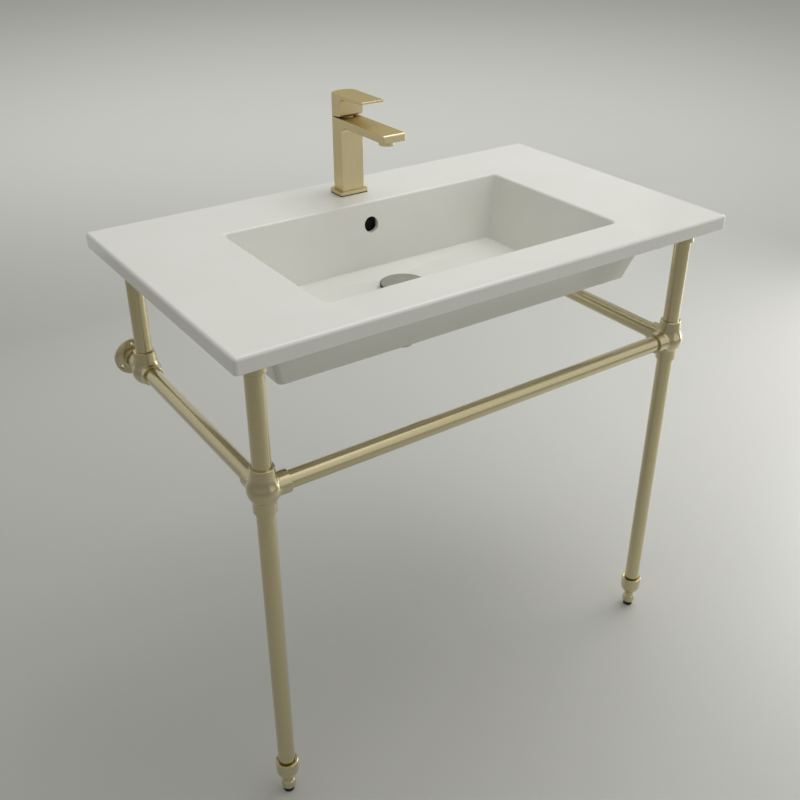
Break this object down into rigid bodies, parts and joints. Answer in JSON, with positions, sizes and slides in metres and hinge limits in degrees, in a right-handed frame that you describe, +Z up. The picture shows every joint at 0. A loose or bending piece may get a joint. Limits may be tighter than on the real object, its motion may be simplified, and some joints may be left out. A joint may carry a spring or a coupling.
{
  "type": "console bathroom sink",
  "caption": "Rectangular ceramic basin top on a brass tube console with ball fittings, wall flanges and levelling feet, with a single-lever mixer and a click waste.",
  "frame": {"origin": "on the floor, below the centre of the basin's plan; the wall is the plane y = +0.239 m", "axes": "+X to the right for someone facing the sink, +Y towards the wall, +Z up"},
  "size_m": [0.82, 0.478, 0.932],
  "materials": {
    "glazed_ceramic": "gloss glaze",
    "brushed_brass": "brushed, champagne",
    "chrome": "polished",
    "black_rubber": "matte",
    "white_acetal": "moulded",
    "stainless_steel": "satin",
    "alumina": "lapped",
    "black_nylon": "moulded"
  },
  "bodies": {
    "sink": {"aerator_housing": "brushed_brass", "aerator_screen": "white_acetal", "aerator_washer": "black_rubber", "basin": "glazed_ceramic", "cartridge_fixed_disc": "alumina", "cartridge_housing": "white_acetal", "cartridge_nut": "brushed_brass", "deck_pads": "black_rubber", "fitting_set_screws": "stainless_steel", "front_rail": "brushed_brass", "left_foot_collar": "brushed_brass", "left_front_deck_flange": "brushed_brass", "left_front_fitting": "brushed_brass", "left_front_leg": "brushed_brass", "left_front_post": "brushed_brass", "left_rear_deck_flange": "brushed_brass", "left_rear_fitting": "brushed_brass", "left_rear_post": "brushed_brass", "left_side_rail": "brushed_brass", "left_wall_flange": "brushed_brass", "left_wall_nipple": "brushed_brass", "mixer_base_gasket": "black_rubber", "mixer_base_plate": "brushed_brass", "mixer_body": "brushed_brass", "mounting_gasket": "black_rubber", "mounting_nut": "stainless_steel", "mounting_stud": "stainless_steel", "mounting_washer": "stainless_steel", "plug_guide": "white_acetal", "right_foot_collar": "brushed_brass", "right_front_deck_flange": "brushed_brass", "right_front_fitting": "brushed_brass", "right_front_leg": "brushed_brass", "right_front_post": "brushed_brass", "right_rear_deck_flange": "brushed_brass", "right_rear_fitting": "brushed_brass", "right_rear_post": "brushed_brass", "right_side_rail": "brushed_brass", "right_wall_flange": "brushed_brass", "right_wall_nipple": "brushed_brass", "waste_body": "chrome", "waste_gasket": "black_rubber", "waste_locknut": "chrome", "waste_lower_gasket": "black_rubber", "waste_tailpiece": "chrome", "waste_washer": "white_acetal"},
    "mixer_rotor": {"cartridge_rotor": "white_acetal", "cartridge_moving_disc": "alumina", "lift_pivot_pin": "stainless_steel"},
    "mixer_handle": {"mixer_lever": "brushed_brass", "lever_spindle": "stainless_steel", "lever_set_screw": "stainless_steel"},
    "plug": {"plug_cap": "chrome", "plug_seal": "black_rubber", "plug_stem": "stainless_steel"},
    "left_foot": {"left_levelling_foot": "brushed_brass", "left_foot_glide": "black_nylon"},
    "right_foot": {"right_levelling_foot": "brushed_brass", "right_foot_glide": "black_nylon"}
  },
  "joints": [
    {"name": "lever_swivel", "type": "hinge", "parent": "sink", "child": "mixer_rotor", "pos_m": [0, 0.1775, 0.89], "axis": [0, 0, 1], "range_deg": [-45, 45]},
    {"name": "lever_lift", "type": "hinge", "parent": "mixer_rotor", "child": "mixer_handle", "pos_m": [0, 0.1775, 0.89], "axis": [-1, 0, 0], "range_deg": [-12, 0]},
    {"name": "plug_press", "type": "slide", "parent": "sink", "child": "plug", "axis": [0, 0, 1], "range_m": [-0.0045, 0]},
    {"name": "left_foot_level", "type": "slide", "parent": "sink", "child": "left_foot", "axis": [0, 0, -1], "range_m": [0, 0.015]},
    {"name": "right_foot_level", "type": "slide", "parent": "sink", "child": "right_foot", "axis": [0, 0, -1], "range_m": [0, 0.015]}
  ]
}
